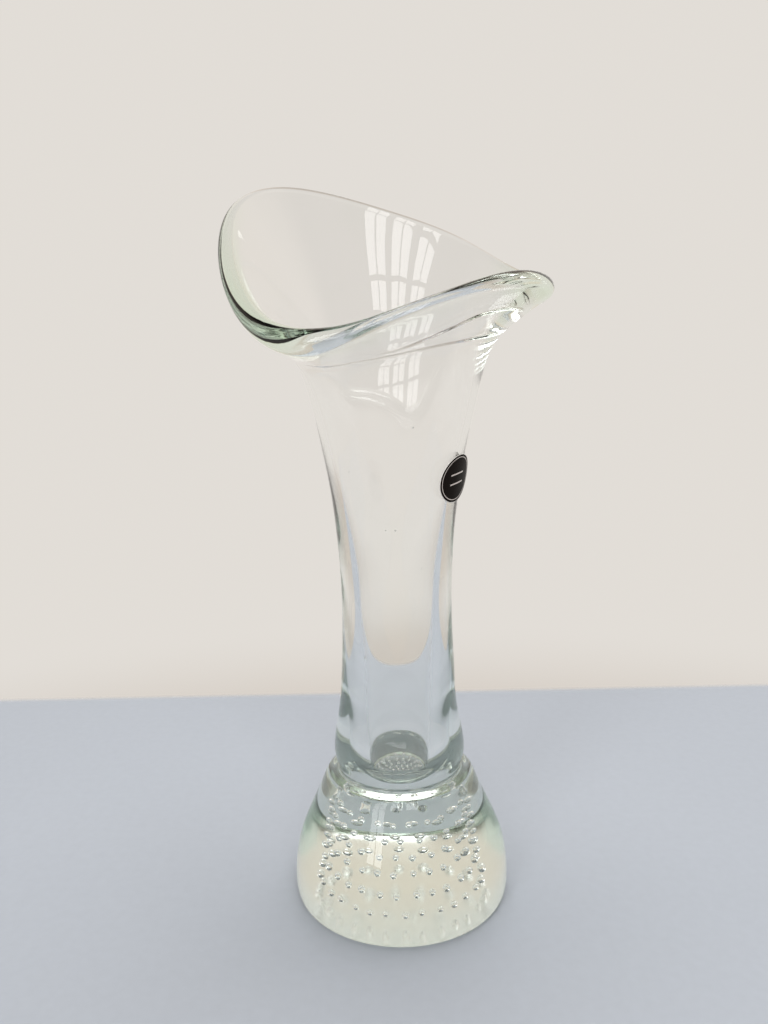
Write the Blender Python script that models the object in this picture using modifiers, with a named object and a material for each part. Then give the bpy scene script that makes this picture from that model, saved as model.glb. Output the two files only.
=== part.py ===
"""Blown glass vase with a folded lip and a bubble foot, as four solids.

Metres, +Z up. The origin is the centre of the ground base, and the vase stands on z = 0.
Seen from the front, which is -Y, the lip is drawn out to a lobe on the left (-X)
and to a pulled tip on the right (+X), and its back edge stands highest.
"""
import math

import bmesh
import bpy
import numpy as np
from mathutils import Matrix, Vector

# The seam between two gathers of glass, left open so that each solid stays its own
SEAM_GAP = 0.0003

# The foot's outside: a heel, a belly, and a shoulder that ends in a crease under the bowl
FOOT_RADIUS = 0.0406
HEEL_INSET = 0.0015
BELLY_HEIGHT = 0.0065
CREASE_RADIUS = 0.0225
CREASE_HEIGHT = 0.0487

# The shoulder from the crease down to the belly: share of its width, share of its fall
SHOULDER_SHARES = (
    (0.00, 0.000),
    (0.15, 0.012),
    (0.27, 0.045),
    (0.40, 0.160),
    (0.65, 0.400),
    (0.88, 0.640),
    (0.98, 0.870),
    (1.00, 1.000),
)
SHOULDER_STEPS = 14
HEEL_STEPS = 4

# The recess in the top of the foot, inside its rim, which holds the bowl's plug
RIM_WIDTH = 0.0034
RECESS_DEPTH = 0.0045

# The core of the foot: a pricked gather, a tapered post with a domed top
CORE_RADIUS = 0.0200
CORE_TAPER = 0.0030
CORE_DOME_RISE = 0.0114
ROOF_THICKNESS = 0.0024
DOME_STEPS = 8
POST_STEPS = 3

# The air bubbles, pricked into the core in level rows
BUBBLE_RADIUS = 0.0011
BUBBLES_IN_ROW = 24
# For each row: its height as a share of the core's, and the share of a step that it is turned by
BUBBLE_ROW_SHARES = (
    (0.080, 0.10),
    (0.222, 0.93),
    (0.374, 0.05),
    (0.511, 0.40),
    (0.651, 0.70),
    (0.795, 0.50),
    (0.916, 0.20),
)
BUBBLE_SIDES = 5
BUBBLE_RINGS = 4

# The bowl's outside: the hip above the crease, the waist above the hip, the neck above the waist
HIP_RADIUS = 0.0245
HIP_RISE = 0.0073
WAIST_RADIUS = 0.0201
WAIST_RISE = 0.0500
NECK_RADIUS = 0.0290
NECK_RISE = 0.0800

# Share of the height from hip to waist, share of the hip's extra radius that is left there
HIP_TO_WAIST_SHARES = ((0.00, 1.00), (0.30, 0.50), (0.60, 0.19), (1.00, 0.00))
# Share of the height from waist to neck, share of the neck's extra radius reached there
WAIST_TO_NECK_SHARES = ((0.25, 0.04), (0.50, 0.22), (0.75, 0.55), (1.00, 1.00))
OUTSIDE_STEPS = 14

# The cavity: a rounded floor and a wall that thins from the hip to the neck
FLOOR_THICKNESS = 0.0040
WELL_DEPTH = 0.0055
HIP_WALL = 0.0125
WAIST_WALL = 0.0070
NECK_WALL = 0.0023
# Share of the height from waist to neck, share of the waist wall's extra thickness left there
WALL_SHARES = ((0.25, 0.76), (0.50, 0.40), (0.75, 0.10), (1.00, 0.00))
CAVITY_STEPS = 12
WELL_STEPS = 6

# The lip: how far it reaches and how far it climbs above the neck, and its thickest bead
LIP_REACH = 0.0585
LIP_RISE = 0.0788
LIP_BEAD = 0.0095
# The fold where the wall turns into the flap: its rise above the neck, and how softly it bends
FOLD_RISE = 0.0220
FOLD_SOFTNESS = 0.0120
# Round the rim from +X over the back: turn, then shares of reach, rise, bead, fold rise, softness
RIM_SHARES = (
    (0.000, 0.945, 0.500, 0.86, 1.02, 0.42),
    (0.083, 0.855, 0.615, 0.60, 1.10, 0.50),
    (0.167, 0.829, 0.787, 0.42, 1.20, 0.70),
    (0.250, 0.838, 0.912, 0.36, 1.20, 1.00),
    (0.333, 0.889, 0.995, 0.36, 1.20, 1.00),
    (0.403, 0.966, 0.988, 0.42, 1.00, 0.80),
    (0.444, 1.000, 0.912, 0.53, 0.85, 0.60),
    (0.500, 0.988, 0.715, 0.63, 0.65, 0.40),
    (0.556, 0.950, 0.465, 0.78, 0.55, 0.20),
    (0.611, 0.905, 0.305, 0.90, 0.54, 0.10),
    (0.653, 0.858, 0.268, 0.95, 0.55, 0.08),
    (0.694, 0.803, 0.285, 0.84, 0.60, 0.08),
    (0.750, 0.769, 0.350, 0.70, 0.68, 0.08),
    (0.833, 0.752, 0.447, 0.64, 0.82, 0.10),
    (0.917, 0.838, 0.510, 0.74, 0.95, 0.20),
    (0.958, 0.905, 0.507, 0.84, 1.00, 0.32),
)
LIP_STEPS = 12
BEAD_STEPS = 4

# The paper-backed foil label, a wide oval that stands off the round neck at its two ends
LABEL_WIDTH = 0.0228
LABEL_HEIGHT = 0.0167
LABEL_THICKNESS = 0.0003
LABEL_BELOW_NECK = 0.0269
LABEL_FLATTER_BY = 0.0270
LABEL_TURN = math.radians(-28.4)
LABEL_LEAN = math.radians(-3.3)
LABEL_RINGS = 3
LABEL_SIDES = 30

# Steps round the vase, the angle from which an edge shows as sharp, and the weld on the axis
AROUND = 50
SHARP_ANGLE = math.radians(40.0)
WELD_DISTANCE = 0.00001

# The glass and the foil
GLASS_COLOUR = (0.88, 0.94, 0.90, 1.0)
CORE_COLOUR = (0.90, 0.95, 0.92, 1.0)
GLASS_ROUGHNESS = 0.02
GLASS_INDEX = 1.5
FOIL_COLOUR = (0.020, 0.018, 0.018, 1.0)
FOIL_ROUGHNESS = 0.30
FOIL_METAL = 0.20

# Places that follow from the sizes above
RECESS_RADIUS = CREASE_RADIUS - RIM_WIDTH
RECESS_FLOOR = CREASE_HEIGHT - RECESS_DEPTH
CORE_HEIGHT = RECESS_FLOOR - ROOF_THICKNESS - SEAM_GAP
CORE_DOME_START = CORE_HEIGHT - CORE_DOME_RISE
CORE_TOP_RADIUS = CORE_RADIUS - CORE_TAPER
BOWL_START = CREASE_HEIGHT + SEAM_GAP
PLUG_BOTTOM = RECESS_FLOOR + SEAM_GAP
PLUG_RADIUS = RECESS_RADIUS - SEAM_GAP
FLOOR_HEIGHT = PLUG_BOTTOM + FLOOR_THICKNESS
HIP_HEIGHT = CREASE_HEIGHT + HIP_RISE
WAIST_HEIGHT = HIP_HEIGHT + WAIST_RISE
NECK_HEIGHT = WAIST_HEIGHT + NECK_RISE
LABEL_MIDDLE = NECK_HEIGHT - LABEL_BELOW_NECK


def clear_scene():
    """Remove whatever the open file holds."""
    for thing in list(bpy.data.objects):
        bpy.data.objects.remove(thing, do_unlink=True)


def new_collection(name):
    """Make a collection and hang it under the scene."""
    collection = bpy.data.collections.new(name)
    bpy.context.scene.collection.children.link(collection)
    return collection


def new_material(name, colour, roughness):
    """A material of its own with a colour and a roughness, and its shader to set further."""
    material = bpy.data.materials.new(name)
    material.use_nodes = True
    shader = material.node_tree.nodes["Principled BSDF"]
    shader.inputs["Base Color"].default_value = colour
    shader.inputs["Roughness"].default_value = roughness
    return material, shader


def glass_material(name, colour):
    """Clear soda glass with a slight tint."""
    material, shader = new_material(name, colour, GLASS_ROUGHNESS)
    shader.inputs["Transmission Weight"].default_value = 1.0
    shader.inputs["IOR"].default_value = GLASS_INDEX
    return material


def foil_material(name, colour):
    """Dark lacquered foil."""
    material, shader = new_material(name, colour, FOIL_ROUGHNESS)
    shader.inputs["Metallic"].default_value = FOIL_METAL
    return material


def between(start, end, share):
    """The value that lies a share of the way from start to end."""
    return start + (end - start) * share


def smooth_line(stations, count):
    """Points along a smooth curve through (radius, height) stations, closer where it turns.

    Each span is a cubic whose end slopes are read from the neighbouring stations, and the
    curve is walked by the square root of the chords, which keeps short spans well covered.
    """
    points = np.array(stations, dtype=float)
    chords = np.hypot(*np.diff(points, axis=0).T)
    walk = np.concatenate(([0.0], np.cumsum(np.sqrt(chords))))
    slopes = np.gradient(points, walk, axis=0)
    places = np.linspace(0.0, walk[-1], count)
    span = np.clip(np.searchsorted(walk, places, side="right") - 1, 0, len(walk) - 2)
    length = (walk[span + 1] - walk[span])[:, None]
    t = (places[:, None] - walk[span][:, None]) / length
    rise = 3 * t**2 - 2 * t**3
    leave = (t**3 - 2 * t**2 + t) * length
    arrive = (t**3 - t**2) * length
    return between(points[span], points[span + 1], rise) + leave * slopes[span] + arrive * slopes[span + 1]


def round_the_rim(turns):
    """The rim table's columns at any turns, as periodic smooth curves."""
    table = np.array(RIM_SHARES)
    knots = np.concatenate((table[-2:, 0] - 1, table[:, 0], table[:2, 0] + 1))
    values = np.concatenate((table[-2:, 1:], table[:, 1:], table[:2, 1:]))
    slopes = np.gradient(values, knots, axis=0)
    span = np.clip(np.searchsorted(knots, turns, side="right") - 1, 0, len(knots) - 2)
    length = (knots[span + 1] - knots[span])[:, None]
    t = (turns - knots[span])[:, None] / length
    rise = 3 * t**2 - 2 * t**3
    leave = (t**3 - 2 * t**2 + t) * length
    arrive = (t**3 - t**2) * length
    curve = between(values[span], values[span + 1], rise) + leave * slopes[span] + arrive * slopes[span + 1]
    return curve.T


def turned(name, profile, collection, material):
    """A solid of revolution: the profile starts and ends on the axis and runs down its outer side."""
    mesh = bpy.data.meshes.new(name)
    corners = [(radius, 0.0, height) for radius, height in profile]
    edges = [(index, index + 1) for index in range(len(corners) - 1)]
    mesh.from_pydata(corners, edges, [])
    thing = bpy.data.objects.new(name, mesh)
    collection.objects.link(thing)
    screw = thing.modifiers.new("turn", "SCREW")
    screw.axis = "Z"
    screw.steps = AROUND
    screw.render_steps = AROUND
    screw.use_merge_vertices = True
    screw.merge_threshold = WELD_DISTANCE
    screw.use_smooth_shade = True
    mesh.materials.append(material)
    return thing


def core_profile(gap):
    """The core's outline from the axis at its top to its base, grown by a gap."""
    quarter = np.linspace(0.0, math.pi / 2, DOME_STEPS)
    dome = [
        (
            (CORE_TOP_RADIUS + gap) * math.sin(angle),
            CORE_DOME_START + (CORE_DOME_RISE + gap) * math.cos(angle),
        )
        for angle in quarter
    ]
    post = [
        (between(CORE_TOP_RADIUS, CORE_RADIUS, share) + gap, between(CORE_DOME_START, 0.0, share))
        for share in np.linspace(0.0, 1.0, POST_STEPS)[1:]
    ]
    return dome + post


def shoulder_profile():
    """The foot's outside from the crease over the shoulder to the belly, then round the heel."""
    stations = [
        (between(CREASE_RADIUS, FOOT_RADIUS, width), between(CREASE_HEIGHT, BELLY_HEIGHT, fall))
        for width, fall in SHOULDER_SHARES
    ]
    shoulder = [tuple(point) for point in smooth_line(stations, SHOULDER_STEPS)]
    heel = [
        (FOOT_RADIUS - HEEL_INSET * (1.0 - math.cos(angle)), BELLY_HEIGHT * (1.0 - math.sin(angle)))
        for angle in np.linspace(0.0, math.pi / 2, HEEL_STEPS + 1)[1:]
    ]
    return shoulder + heel


def make_foot_casing(collection, material):
    """The clear gather over the core, with a shallow recess on top for the bowl's plug."""
    recess = [(0.0, RECESS_FLOOR), (RECESS_RADIUS, RECESS_FLOOR), (RECESS_RADIUS, CREASE_HEIGHT)]
    hollow = core_profile(SEAM_GAP)[::-1]
    return turned("foot_casing", recess + shoulder_profile() + hollow, collection, material)


def make_foot_core(collection, material, cutter):
    """The pricked core, whose dimples hold the air that the casing traps."""
    core = turned("foot_core", core_profile(0.0) + [(0.0, 0.0)], collection, material)
    prick = core.modifiers.new("prick", "BOOLEAN")
    prick.operation = "DIFFERENCE"
    prick.solver = "EXACT"
    prick.object = cutter
    return core


def core_radius_at(height):
    """The core's radius at a height, on its post or on its dome."""
    if height <= CORE_DOME_START:
        return between(CORE_RADIUS, CORE_TOP_RADIUS, height / CORE_DOME_START)
    climb = (height - CORE_DOME_START) / CORE_DOME_RISE
    return CORE_TOP_RADIUS * math.sqrt(1.0 - climb**2)


def make_bubble_cutter(collection):
    """All the air bubbles as one cutter, row above row."""
    mesh = bpy.data.meshes.new("bubble_cutter")
    shape = bmesh.new()
    for height_share, turn_share in BUBBLE_ROW_SHARES:
        height = height_share * CORE_HEIGHT
        radius = core_radius_at(height)
        count = round(BUBBLES_IN_ROW * radius / CORE_RADIUS)
        for place in range(count):
            angle = 2 * math.pi * (place + turn_share) / count
            centre = Vector((radius * math.cos(angle), radius * math.sin(angle), height))
            pole = Vector((math.cos(angle), math.sin(angle), 0.0)).to_track_quat("Z", "Y")
            bmesh.ops.create_uvsphere(
                shape,
                u_segments=BUBBLE_SIDES,
                v_segments=BUBBLE_RINGS,
                radius=BUBBLE_RADIUS,
                matrix=Matrix.Translation(centre) @ pole.to_matrix().to_4x4(),
            )
    shape.to_mesh(mesh)
    shape.free()
    cutter = bpy.data.objects.new("bubble_cutter", mesh)
    cutter.hide_render = True
    cutter.display_type = "WIRE"
    collection.objects.link(cutter)
    return cutter


def outside_line():
    """The bowl's outside from the crease over hip and waist to the neck."""
    stations = [(CREASE_RADIUS, BOWL_START)]
    for rise, wide in HIP_TO_WAIST_SHARES:
        radius = between(WAIST_RADIUS, HIP_RADIUS, wide)
        stations.append((radius, between(HIP_HEIGHT, WAIST_HEIGHT, rise)))
    for rise, wide in WAIST_TO_NECK_SHARES:
        radius = between(WAIST_RADIUS, NECK_RADIUS, wide)
        stations.append((radius, between(WAIST_HEIGHT, NECK_HEIGHT, rise)))
    return smooth_line(stations, OUTSIDE_STEPS)


def cavity_line():
    """The cavity from the neck down the wall, round the well and in to the floor's middle."""
    well_radius = HIP_RADIUS - HIP_WALL
    well_top = FLOOR_HEIGHT + WELL_DEPTH
    stations = []
    for (rise, wide), (_, thick) in zip(WAIST_TO_NECK_SHARES[::-1], WALL_SHARES[::-1]):
        radius = between(WAIST_RADIUS, NECK_RADIUS, wide)
        wall = between(NECK_WALL, WAIST_WALL, thick)
        stations.append((radius - wall, between(WAIST_HEIGHT, NECK_HEIGHT, rise)))
    stations.append((WAIST_RADIUS - WAIST_WALL, WAIST_HEIGHT))
    stations.append((well_radius, well_top))
    wall_line = smooth_line(stations, CAVITY_STEPS)
    quarter = np.linspace(0.0, math.pi / 2, WELL_STEPS)[1:-1]
    well = np.stack((well_radius * np.cos(quarter), well_top - WELL_DEPTH * np.sin(quarter)), axis=1)
    return np.concatenate((wall_line, well))


def soft_ramp(walk, width):
    """Zero before the fold and the walk itself beyond it, rounded over a width round the fold."""
    return width * np.logaddexp(0.0, walk / width)


def lip_rows(turns, outside, cavity):
    """Radii and heights of the lip at every turn: up its outside, round the bead, down its inside.

    At each turn the middle of the glass runs on along the wall to the fold and from there
    straight to the rim, with its corner rounded by two soft ramps. The walk along it is
    counted from the fold, and its points lie closer there. Half the thickness is laid off
    on both sides, and the end is closed with half a circle.
    """
    neck_outside = outside[-1]
    neck_inside = cavity[0]
    last_step = (neck_outside - outside[-2])[:, None]
    wall_way = last_step / np.hypot(*last_step)
    neck = (neck_outside + neck_inside)[:, None] / 2
    reach_share, rise_share, bead_share, climb_share, soft_share = round_the_rim(turns)
    tip = np.stack((LIP_REACH * reach_share, NECK_HEIGHT + LIP_RISE * rise_share))
    bead = LIP_BEAD * bead_share
    climb = FOLD_RISE * climb_share
    width = FOLD_SOFTNESS * soft_share
    fold = neck + wall_way * climb
    flap_length = np.hypot(*(tip - fold))
    flap_way = (tip - fold) / flap_length
    rim = tip - flap_way * bead / 2

    step = np.linspace(-1.0, 1.0, LIP_STEPS)[:, None]
    walk = step * np.sqrt(np.abs(step)) * np.where(step < 0.0, climb, flap_length - bead / 2)
    share = ((walk - walk[0]) / (walk[-1] - walk[0]))[:, None]
    before = soft_ramp(-walk, width)[:, None]
    beyond = soft_ramp(walk, width)[:, None]
    middle = fold - wall_way * before + flap_way * beyond
    middle = middle + between(neck - middle[0], rim - middle[-1], share)
    turned_over = (1.0 / (1.0 + np.exp(-walk / width)))[:, None]
    way = between(wall_way, flap_way, turned_over)
    way /= np.hypot(way[:, 0], way[:, 1])[:, None]
    side = np.stack((way[:, 1], -way[:, 0]), axis=1)
    half = between(NECK_WALL, bead, share * np.sqrt(share)) / 2
    outer = middle + side * half
    inner = middle - side * half

    angle = np.linspace(0.0, math.pi, BEAD_STEPS + 2)[1:-1, None, None]
    bead_rows = rim + (side[-1] * np.cos(angle) + way[-1] * np.sin(angle)) * bead / 2
    return np.concatenate((outer, bead_rows, inner[::-1]))


def loft(name, rows, bottom, floor, collection, material):
    """A closed solid from rings of points, with a point in the middle of its bottom and its floor."""
    ring_count, around = rows.shape[0], rows.shape[1]
    corners = np.concatenate((rows.reshape(-1, 3), [bottom, floor]))
    ring = np.arange(ring_count - 1)[:, None] * around
    here = np.arange(around)
    after = (here + 1) % around
    walls = np.stack((ring + here, ring + after, ring + around + after, ring + around + here), axis=-1)
    bottom_index = ring_count * around
    last = bottom_index - around
    bottom_fan = np.stack((np.full(around, bottom_index), after, here), axis=-1)
    floor_fan = np.stack((np.full(around, bottom_index + 1), last + here, last + after), axis=-1)
    mesh = bpy.data.meshes.new(name)
    faces = walls.reshape(-1, 4).tolist() + bottom_fan.tolist() + floor_fan.tolist()
    mesh.from_pydata(corners.tolist(), [], faces)
    mesh.update()
    mesh.shade_smooth()
    mesh.set_sharp_from_angle(angle=SHARP_ANGLE)
    mesh.materials.append(material)
    thing = bpy.data.objects.new(name, mesh)
    collection.objects.link(thing)
    return thing


def make_bowl(collection, material):
    """The blown bowl: plug, thick lower wall, thin neck and the folded, leaning lip."""
    turns = np.arange(AROUND) / AROUND
    outside = outside_line()
    cavity = cavity_line()
    plug = np.array(((PLUG_RADIUS, PLUG_BOTTOM), (PLUG_RADIUS, BOWL_START)))
    level = np.ones(AROUND)
    lower = np.concatenate((plug, outside[:-1]))[:, :, None] * level
    upper = cavity[1:, :, None] * level
    sections = np.concatenate((lower, lip_rows(turns, outside, cavity), upper))
    angle = 2 * math.pi * turns
    radius = sections[:, 0]
    rows = np.stack((radius * np.cos(angle), radius * np.sin(angle), sections[:, 1]), axis=-1)
    bottom = (0.0, 0.0, PLUG_BOTTOM)
    floor = (0.0, 0.0, FLOOR_HEIGHT)
    return loft("bowl", rows, bottom, floor, collection, material)


def wall_radius_at(height, wall):
    """The radius of the bowl's outside at a height."""
    return float(np.interp(height, wall[:, 1], wall[:, 0]))


def label_point(share, angle, wall):
    """A point of the label: its oval turned by its lean, bent flatter than the wall behind it.

    The share runs from 0 in the middle to 1 at the edge. The patch follows the wall up and
    down, and its plan is an arc of its own larger radius, so its two ends stand off.
    """
    across = LABEL_WIDTH / 2 * share * math.cos(angle)
    along = LABEL_HEIGHT / 2 * share * math.sin(angle)
    sideways = across * math.cos(LABEL_LEAN) + along * math.sin(LABEL_LEAN)
    height = LABEL_MIDDLE + along * math.cos(LABEL_LEAN) - across * math.sin(LABEL_LEAN)
    bend_radius = wall_radius_at(LABEL_MIDDLE, wall) + LABEL_FLATTER_BY
    bend = sideways / bend_radius
    outward = wall_radius_at(height, wall) + SEAM_GAP + bend_radius * (math.cos(bend) - 1.0)
    return outward, bend_radius * math.sin(bend), height


def make_label(collection, material):
    """An oval patch of rings round a middle point, given its thickness away from the glass."""
    wall = outside_line()
    mesh = bpy.data.meshes.new("label")
    shape = bmesh.new()
    centre = shape.verts.new(label_point(0.0, 0.0, wall))
    rings = [
        [
            shape.verts.new(label_point(ring / LABEL_RINGS, 2 * math.pi * side / LABEL_SIDES, wall))
            for side in range(LABEL_SIDES)
        ]
        for ring in range(1, LABEL_RINGS + 1)
    ]
    for side in range(LABEL_SIDES):
        after = (side + 1) % LABEL_SIDES
        shape.faces.new((centre, rings[0][side], rings[0][after]))
        for inner, outer in zip(rings, rings[1:]):
            shape.faces.new((inner[side], outer[side], outer[after], inner[after]))
    shape.to_mesh(mesh)
    shape.free()
    mesh.shade_smooth()
    mesh.materials.append(material)

    label = bpy.data.objects.new("label", mesh)
    label.rotation_euler.z = LABEL_TURN
    collection.objects.link(label)
    skin = label.modifiers.new("thickness", "SOLIDIFY")
    skin.thickness = LABEL_THICKNESS
    skin.offset = 1.0
    return label


def build():
    """Make the four solids and the bubble cutter."""
    clear_scene()
    parts = new_collection("glass_vase")
    cutters = new_collection("cutters")
    clear = glass_material("clear_glass", GLASS_COLOUR)
    bubbled = glass_material("bubbled_glass", CORE_COLOUR)
    foil = foil_material("dark_foil", FOIL_COLOUR)
    cutter = make_bubble_cutter(cutters)
    make_bowl(parts, clear)
    make_foot_casing(parts, clear)
    make_foot_core(parts, bubbled, cutter)
    make_label(parts, foil)


build()
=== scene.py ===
# %% [markdown]
# # A blown glass vase with a folded lip and a bubble foot
# The packed solids come first. They are the frame: their sizes and places are fixed, and the
# finished glass and label made here stand in for them, inside the same box.

# %% Load the frame
import math

import bpy
import numpy as np
from mathutils import Matrix, Vector


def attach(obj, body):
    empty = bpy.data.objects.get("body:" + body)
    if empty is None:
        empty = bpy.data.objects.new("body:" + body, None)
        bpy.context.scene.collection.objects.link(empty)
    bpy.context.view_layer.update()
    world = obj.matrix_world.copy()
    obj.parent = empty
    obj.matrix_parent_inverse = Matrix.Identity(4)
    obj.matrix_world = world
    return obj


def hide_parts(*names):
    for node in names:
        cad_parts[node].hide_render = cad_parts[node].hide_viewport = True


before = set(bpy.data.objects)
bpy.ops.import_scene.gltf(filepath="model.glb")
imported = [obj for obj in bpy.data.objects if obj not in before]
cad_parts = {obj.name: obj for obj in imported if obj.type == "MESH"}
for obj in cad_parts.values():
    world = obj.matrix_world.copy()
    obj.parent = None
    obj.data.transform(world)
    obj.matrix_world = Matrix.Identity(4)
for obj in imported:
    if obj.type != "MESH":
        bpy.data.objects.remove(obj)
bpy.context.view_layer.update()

print("solids:", sorted(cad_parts))

# %% [markdown]
# ## The sizes of the vase
# A glassblower thinks in places down the axis: the ground base, the belly of the foot, the crease
# where the bowl was joined on, the hip, the waist, the neck, and the lip that is folded last.
# Each place is one named size, so that the shape can be read and changed without hunting
# for numbers. These are the solids' sizes, and the crease lies in the middle of their seam.

# %% Named sizes
MM = 0.001

FOOT_RADIUS = 40.6 * MM
HEEL_INSET = 1.5 * MM
BELLY_HEIGHT = 6.5 * MM
CREASE_RADIUS = 22.5 * MM
CREASE_HEIGHT = 48.85 * MM
# From the crease down to the belly: share of the width, share of the fall
SHOULDER_SHARES = (
    (0.00, 0.000),
    (0.15, 0.012),
    (0.27, 0.045),
    (0.40, 0.160),
    (0.65, 0.400),
    (0.88, 0.640),
    (0.98, 0.870),
    (1.00, 1.000),
)

HIP_RADIUS = 24.5 * MM
HIP_HEIGHT = 56.0 * MM
WAIST_RADIUS = 20.1 * MM
WAIST_HEIGHT = 106.0 * MM
NECK_RADIUS = 29.0 * MM
NECK_HEIGHT = 186.0 * MM
# Share of the climb, share of the extra radius
HIP_TO_WAIST_SHARES = ((0.00, 1.00), (0.30, 0.50), (0.60, 0.19), (1.00, 0.00))
WAIST_TO_NECK_SHARES = ((0.25, 0.04), (0.50, 0.22), (0.75, 0.55), (1.00, 1.00))

FLOOR_HEIGHT = 48.5 * MM
WELL_DEPTH = 5.5 * MM
HIP_WALL = 12.5 * MM
WAIST_WALL = 7.0 * MM
NECK_WALL = 2.3 * MM
WALL_SHARES = ((0.25, 0.76), (0.50, 0.40), (0.75, 0.10), (1.00, 0.00))

print("widest and narrowest across, in mm:", 2000 * FOOT_RADIUS, 2000 * WAIST_RADIUS)

# %% [markdown]
# ## The lip
# The lip was reheated and pulled: out to a lobe on the left, to a tip on the right, high at the
# back and folded low over the front. A table of a few turns says how far it reaches, how high it
# climbs, how thick its bead is, how high it folds and how softly, and a smooth curve fills in
# between. The reach and the climb are a third of a millimetre under the solids', because this
# smooth lip bulges a little between the points that the solids join with flat faces.

# %% The lip's table
LIP_REACH = 58.15 * MM
LIP_RISE = 78.6 * MM
LIP_BEAD = 9.5 * MM
FOLD_RISE = 22.0 * MM
FOLD_SOFTNESS = 12.0 * MM
# Turn from +X over the back, then shares of reach, rise, bead, fold rise, fold softness
RIM_SHARES = (
    (0.000, 0.945, 0.500, 0.86, 1.02, 0.42),
    (0.083, 0.855, 0.615, 0.60, 1.10, 0.50),
    (0.167, 0.829, 0.787, 0.42, 1.20, 0.70),
    (0.250, 0.838, 0.912, 0.36, 1.20, 1.00),
    (0.333, 0.889, 0.995, 0.36, 1.20, 1.00),
    (0.403, 0.966, 0.988, 0.42, 1.00, 0.80),
    (0.444, 1.000, 0.912, 0.53, 0.85, 0.60),
    (0.500, 0.988, 0.715, 0.63, 0.65, 0.40),
    (0.556, 0.950, 0.465, 0.78, 0.55, 0.20),
    (0.611, 0.905, 0.305, 0.90, 0.54, 0.10),
    (0.653, 0.858, 0.268, 0.95, 0.55, 0.08),
    (0.694, 0.803, 0.285, 0.84, 0.60, 0.08),
    (0.750, 0.769, 0.350, 0.70, 0.68, 0.08),
    (0.833, 0.752, 0.447, 0.64, 0.82, 0.10),
    (0.917, 0.838, 0.510, 0.74, 0.95, 0.20),
    (0.958, 0.905, 0.507, 0.84, 1.00, 0.32),
)
print("turns in the lip's table:", len(RIM_SHARES))

# %% [markdown]
# ## Creases in the flap
# Where the front was folded over, the glass kept two fine creases that start together on the left
# and spread to the right. They could be painted with a bump, but a crease bends light only when
# its walls are truly steep, so they are cut into the outer skin, a fraction of a millimetre deep.

# %% The creases' table
CREASE_DEPTH = 0.80 * MM
CREASE_WIDTH = 0.34 * MM
CREASE_MARGIN = 0.9 * MM
# Turn, then for the lower and the upper crease: how far past the fold, and share of the full depth
CREASES = (
    (0.500, 6.2 * MM, 0.0, 9.0 * MM, 0.0),
    (0.600, 6.2 * MM, 0.0, 9.0 * MM, 0.0),
    (0.640, 6.0 * MM, 0.7, 8.6 * MM, 0.0),
    (0.690, 4.4 * MM, 1.0, 7.0 * MM, 0.0),
    (0.720, 2.9 * MM, 1.0, 5.2 * MM, 0.0),
    (0.750, 2.3 * MM, 1.0, 4.3 * MM, 0.6),
    (0.776, 2.1 * MM, 1.0, 5.1 * MM, 1.0),
    (0.803, 1.9 * MM, 1.0, 6.5 * MM, 1.0),
    (0.833, 1.8 * MM, 1.0, 8.4 * MM, 1.0),
    (0.867, 1.7 * MM, 1.0, 11.4 * MM, 1.0),
    (0.920, 2.1 * MM, 0.8, 13.9 * MM, 0.8),
    (0.960, 2.6 * MM, 0.0, 14.5 * MM, 0.0),
)
print("turns in the creases' table:", len(CREASES))

# %% [markdown]
# ## Green in the rim
# A thick rim leads light along itself as a glass fibre does, and the light that leaves it at the
# sharp bends, at the lobe and the tip, has come a long way through the glass and is greener. Few
# rays in a render go so far, so these bends get a trace of the colour from a table of turns.

# %% The rim's greens
RIM_GREEN_REACH = 4.0 * MM
# Turn, and share of the green
RIM_GREENS = (
    (0.00, 0.8),
    (0.04, 0.5),
    (0.10, 0.0),
    (0.44, 0.0),
    (0.50, 0.4),
    (0.56, 1.0),
    (0.62, 1.0),
    (0.67, 0.2),
    (0.90, 0.0),
    (0.96, 0.7),
)
print("turns with a mark of green:", len(RIM_GREENS))

# %% [markdown]
# ## Smooth curves
# Glass flows, so its outline has no corner and no sudden change of bend. A cubic spline has both
# properties: slope and bend agree at every point that it goes through. Plain straight steps
# would show as rings in the reflections.

# %% Splines


def spline(knots, values, places):
    """Cubic spans through the values at the knots, with equal slope and bend where they meet.

    The bends at the knots solve one band of equations, and the two ends are left straight.
    """
    step = np.diff(knots)
    slope = np.diff(values, axis=0) / step[:, None]
    count = len(knots)
    inner = np.arange(1, count - 1)
    band = np.eye(count)
    band[inner, inner - 1] = step[:-1]
    band[inner, inner] = 2 * (step[:-1] + step[1:])
    band[inner, inner + 1] = step[1:]
    change = np.zeros_like(values)
    change[1:-1] = 6 * np.diff(slope, axis=0)
    bend = np.linalg.solve(band, change)
    span = np.clip(np.searchsorted(knots, places, side="right") - 1, 0, count - 2)
    width = step[span][:, None]
    after = (places - knots[span])[:, None] / width
    before = 1 - after
    straight = before * values[span] + after * values[span + 1]
    curved = (before**3 - before) * bend[span] + (after**3 - after) * bend[span + 1]
    return straight + curved * width**2 / 6


def smooth_line(stations, count):
    """A spline through (radius, height) stations, walked by the square root of the chords."""
    points = np.array(stations, dtype=float)
    chords = np.hypot(*np.diff(points, axis=0).T)
    walk = np.concatenate(([0.0], np.cumsum(np.sqrt(chords))))
    return spline(walk, points, np.linspace(0.0, walk[-1], count))


def round_the_rim(turns):
    """All columns of the rim table at any turns. The table is laid three times end to end."""
    table = np.array(RIM_SHARES)
    knots = np.concatenate((table[:, 0] - 1, table[:, 0], table[:, 0] + 1))
    return spline(knots, np.tile(table[:, 1:], (3, 1)), turns).T


def between(start, end, share):
    """The value that lies a share of the way from start to end."""
    return start + (end - start) * share


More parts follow.
